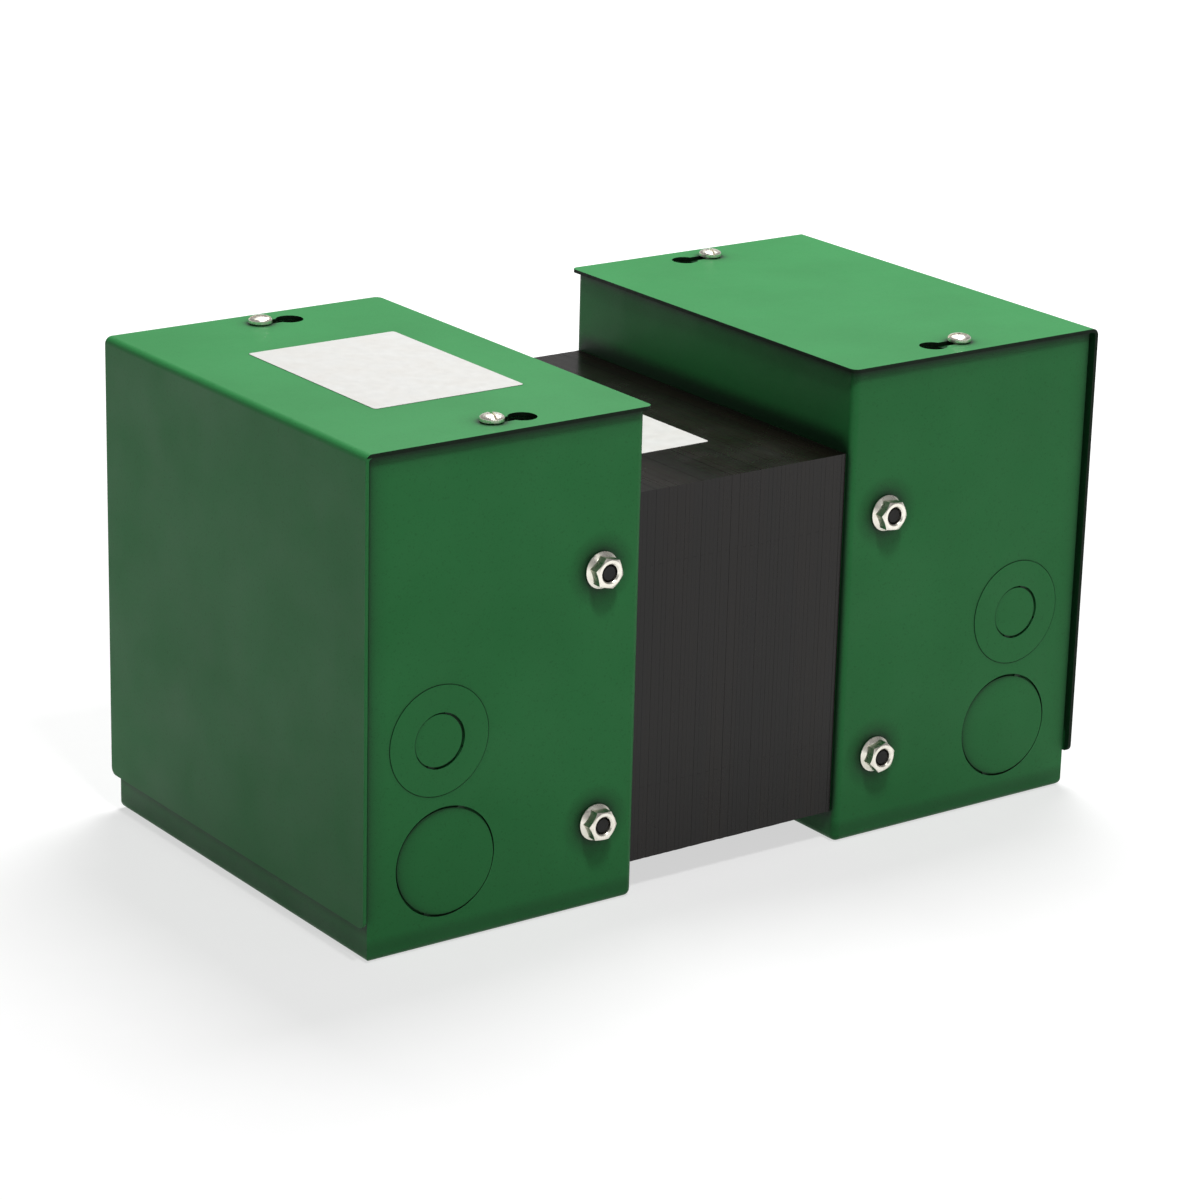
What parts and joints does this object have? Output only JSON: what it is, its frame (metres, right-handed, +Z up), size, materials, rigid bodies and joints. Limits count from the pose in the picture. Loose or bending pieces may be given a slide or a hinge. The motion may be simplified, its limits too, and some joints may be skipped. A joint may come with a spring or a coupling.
{
  "type": "dry-type transformer with wiring compartments",
  "caption": "Small dry-type transformer: dark laminated core and coil between two green sheet-metal wiring compartments with keyhole covers and conduit knock-outs.",
  "frame": {"origin": "on the floor under the middle of the core: the middle of the bounding box's bottom face", "axes": "+Z up, X along the transformer from the left compartment to the right one, -Y the front with the visible knock-outs"},
  "size_m": [0.3506, 0.1982, 0.2012],
  "materials": {
    "green_paint": "smooth semi-gloss green enamel on bent sheet steel",
    "varnished_steel": "brown-black insulating varnish over the edges of the laminations",
    "dipped_steel": "black varnish on pressed steel and its weld studs",
    "zinc": "bright zinc plating",
    "copper": null,
    "paper": "brown insulating paper",
    "tape": "yellow-brown varnished cloth tape",
    "phenolic": "black moulded phenolic",
    "nylon": "natural moulded nylon",
    "nickel_brass": "nickel-plated brass",
    "sleeving": "woven glass sleeving",
    "ground_green": "green-dyed zinc plating"
  },
  "bodies": {
    "transformer": {"bobbin": "nylon", "coil_wrap": "tape", "core_bolt_1": "zinc", "core_bolt_2": "zinc", "core_bolt_3": "zinc", "core_bolt_4": "zinc", "core_nut_1": "zinc", "core_nut_2": "zinc", "core_nut_3": "zinc", "core_nut_4": "zinc", "core_stack": "varnished_steel", "left_end_frame": "dipped_steel", "left_ground_screw": "ground_green", "left_nut_back_lower": "zinc", "left_nut_back_upper": "zinc", "left_nut_front_lower": "zinc", "left_nut_front_upper": "zinc", "left_terminal_screw_1": "nickel_brass", "left_terminal_screw_2": "nickel_brass", "left_terminal_screw_3": "nickel_brass", "left_terminal_screw_4": "nickel_brass", "left_terminal_strip": "phenolic", "left_tray": "green_paint", "primary_lead_1": "sleeving", "primary_lead_2": "sleeving", "primary_lead_3": "sleeving", "primary_lead_4": "sleeving", "primary_winding": "copper", "right_end_frame": "dipped_steel", "right_ground_screw": "ground_green", "right_nut_back_lower": "zinc", "right_nut_back_upper": "zinc", "right_nut_front_lower": "zinc", "right_nut_front_upper": "zinc", "right_terminal_screw_1": "nickel_brass", "right_terminal_screw_2": "nickel_brass", "right_terminal_screw_3": "nickel_brass", "right_terminal_screw_4": "nickel_brass", "right_terminal_strip": "phenolic", "right_tray": "green_paint", "secondary_lead_1": "sleeving", "secondary_lead_2": "sleeving", "secondary_lead_3": "sleeving", "secondary_lead_4": "sleeving", "secondary_winding": "copper", "winding_insulation": "paper"},
    "left_cover_screws": {"left_cover_screw_front": "zinc", "left_cover_screw_back": "zinc"},
    "left_cover": {"left_cover": "green_paint"},
    "right_cover_screws": {"right_cover_screw_front": "zinc", "right_cover_screw_back": "zinc"},
    "right_cover": {"right_cover": "green_paint"}
  },
  "joints": [
    {"name": "left_cover_lift", "type": "slide", "parent": "transformer", "child": "left_cover_screws", "axis": [0, 0, 1], "range_m": [0, 0.2]},
    {"name": "left_cover_slide", "type": "slide", "parent": "left_cover_screws", "child": "left_cover", "axis": [-1, 0, 0], "range_m": [0, 0.0135]},
    {"name": "right_cover_lift", "type": "slide", "parent": "transformer", "child": "right_cover_screws", "axis": [0, 0, 1], "range_m": [0, 0.2]},
    {"name": "right_cover_slide", "type": "slide", "parent": "right_cover_screws", "child": "right_cover", "axis": [1, 0, 0], "range_m": [0, 0.0135]}
  ]
}
